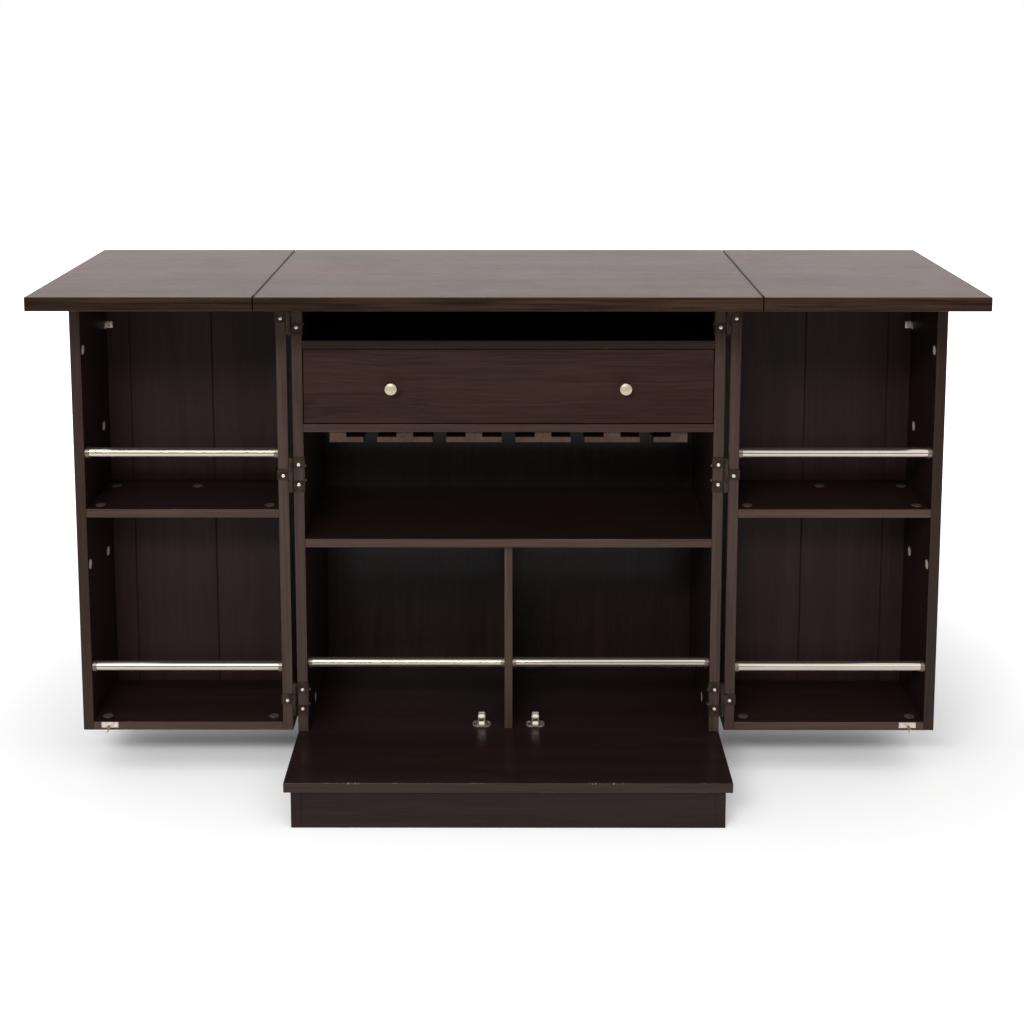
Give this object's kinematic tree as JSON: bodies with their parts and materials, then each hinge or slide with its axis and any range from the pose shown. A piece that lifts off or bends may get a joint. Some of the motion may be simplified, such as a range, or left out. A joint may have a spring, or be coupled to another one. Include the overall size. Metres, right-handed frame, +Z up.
{
  "type": "bar cabinet",
  "caption": "Fold-out bar cabinet with swinging shelf wings, fold-over top leaves, a drawer, stemware rails and bottle rails, in dark espresso wood.",
  "frame": {"origin": "on the floor, under the middle of the top", "axes": "+X to the right seen from the front, +Y to the back, +Z up"},
  "size_m": [1.606, 0.518, 0.9418],
  "materials": {
    "espresso_veneer": "dark espresso stain over wood veneer, satin lacquer",
    "top_veneer": "espresso stained veneer with a soft sheen",
    "drawer_veneer": "espresso stained veneer, reddish, grain across the drawer",
    "drawer_box_wood": "brown stained solid wood",
    "brushed_rail": "brushed along the bar",
    "rail_socket": "satin cups",
    "satin_nickel": "satin nickel",
    "dark_hinge": "oil-rubbed bronze",
    "hinge_pin_steel": "dark steel pins",
    "screw_steel": "bright nickel screws",
    "zinc_catch": "zinc plated pressed steel",
    "roller_plastic": "off-white rollers",
    "fitting_cap": "brown and grey covers over the fittings",
    "slide_steel": "zinc plated runners"
  },
  "bodies": {
    "cabinet_body": {"body_back": "espresso_veneer", "body_bottle_rails": "brushed_rail", "body_caps": "fitting_cap", "body_hinge_leaves": "dark_hinge", "body_rail_sockets": "rail_socket", "body_screws": "screw_steel", "body_sides": "espresso_veneer", "catch_housings": "zinc_catch", "centre_top": "top_veneer", "deck": "espresso_veneer", "divider": "espresso_veneer", "drawer_board": "espresso_veneer", "hinge_pins": "hinge_pin_steel", "middle_shelf": "espresso_veneer", "niche_floor": "espresso_veneer", "plinth_rails": "espresso_veneer", "plinth_sides": "espresso_veneer", "slide_channels": "slide_steel", "stemware_rails": "espresso_veneer", "top_hinge_fixed_leaves": "dark_hinge"},
    "left_wing": {"left_wing_back": "espresso_veneer", "left_wing_bottle_rails": "brushed_rail", "left_wing_caps": "fitting_cap", "left_wing_floor": "espresso_veneer", "left_wing_hinge_leaves": "dark_hinge", "left_wing_inner_side": "espresso_veneer", "left_wing_knob": "satin_nickel", "left_wing_outer_side": "espresso_veneer", "left_wing_rail_sockets": "rail_socket", "left_wing_screws": "screw_steel", "left_wing_shelf": "espresso_veneer", "left_wing_strike": "zinc_catch", "left_wing_top": "espresso_veneer"},
    "right_wing": {"right_wing_back": "espresso_veneer", "right_wing_bottle_rails": "brushed_rail", "right_wing_caps": "fitting_cap", "right_wing_floor": "espresso_veneer", "right_wing_hinge_leaves": "dark_hinge", "right_wing_inner_side": "espresso_veneer", "right_wing_knob": "satin_nickel", "right_wing_outer_side": "espresso_veneer", "right_wing_rail_sockets": "rail_socket", "right_wing_screws": "screw_steel", "right_wing_shelf": "espresso_veneer", "right_wing_strike": "zinc_catch", "right_wing_top": "espresso_veneer"},
    "left_leaf": {"left_top_leaf": "top_veneer", "left_top_leaf_hinge": "dark_hinge"},
    "right_leaf": {"right_top_leaf": "top_veneer", "right_top_leaf_hinge": "dark_hinge"},
    "drawer": {"drawer_back": "drawer_box_wood", "drawer_floor": "drawer_box_wood", "drawer_front": "drawer_veneer", "drawer_knobs": "satin_nickel", "drawer_runners": "slide_steel", "drawer_sides": "drawer_box_wood"},
    "left_lower_roller": {"left_lower_roller": "roller_plastic"},
    "left_upper_roller": {"left_upper_roller": "roller_plastic"},
    "right_lower_roller": {"right_lower_roller": "roller_plastic"},
    "right_upper_roller": {"right_upper_roller": "roller_plastic"}
  },
  "joints": [
    {"name": "left_wing_hinge", "type": "hinge", "parent": "cabinet_body", "child": "left_wing", "pos_m": [-0.3935, -0.065, 0.5], "axis": [0, 0, 1], "range_deg": [0, 180]},
    {"name": "right_wing_hinge", "type": "hinge", "parent": "cabinet_body", "child": "right_wing", "pos_m": [0.3935, -0.065, 0.5], "axis": [0, 0, -1], "range_deg": [0, 180]},
    {"name": "left_leaf_hinge", "type": "hinge", "parent": "cabinet_body", "child": "left_leaf", "pos_m": [-0.424, 0, 0.9403], "axis": [0, 1, 0], "range_deg": [0, 180]},
    {"name": "right_leaf_hinge", "type": "hinge", "parent": "cabinet_body", "child": "right_leaf", "pos_m": [0.424, 0, 0.9403], "axis": [0, -1, 0], "range_deg": [0, 180]},
    {"name": "drawer_slide", "type": "slide", "parent": "cabinet_body", "child": "drawer", "axis": [0, 1, 0], "range_m": [-0.21, 0]},
    {"name": "left_lower_roller_spin", "type": "hinge", "parent": "cabinet_body", "child": "left_lower_roller", "pos_m": [-0.05, -0.043, 0.0939], "axis": [1, 0, 0], "continuous": true},
    {"name": "left_upper_roller_spin", "type": "hinge", "parent": "cabinet_body", "child": "left_upper_roller", "pos_m": [-0.05, -0.043, 0.1079], "axis": [1, 0, 0], "continuous": true},
    {"name": "right_lower_roller_spin", "type": "hinge", "parent": "cabinet_body", "child": "right_lower_roller", "pos_m": [0.05, -0.043, 0.0939], "axis": [1, 0, 0], "continuous": true},
    {"name": "right_upper_roller_spin", "type": "hinge", "parent": "cabinet_body", "child": "right_upper_roller", "pos_m": [0.05, -0.043, 0.1079], "axis": [1, 0, 0], "continuous": true}
  ]
}
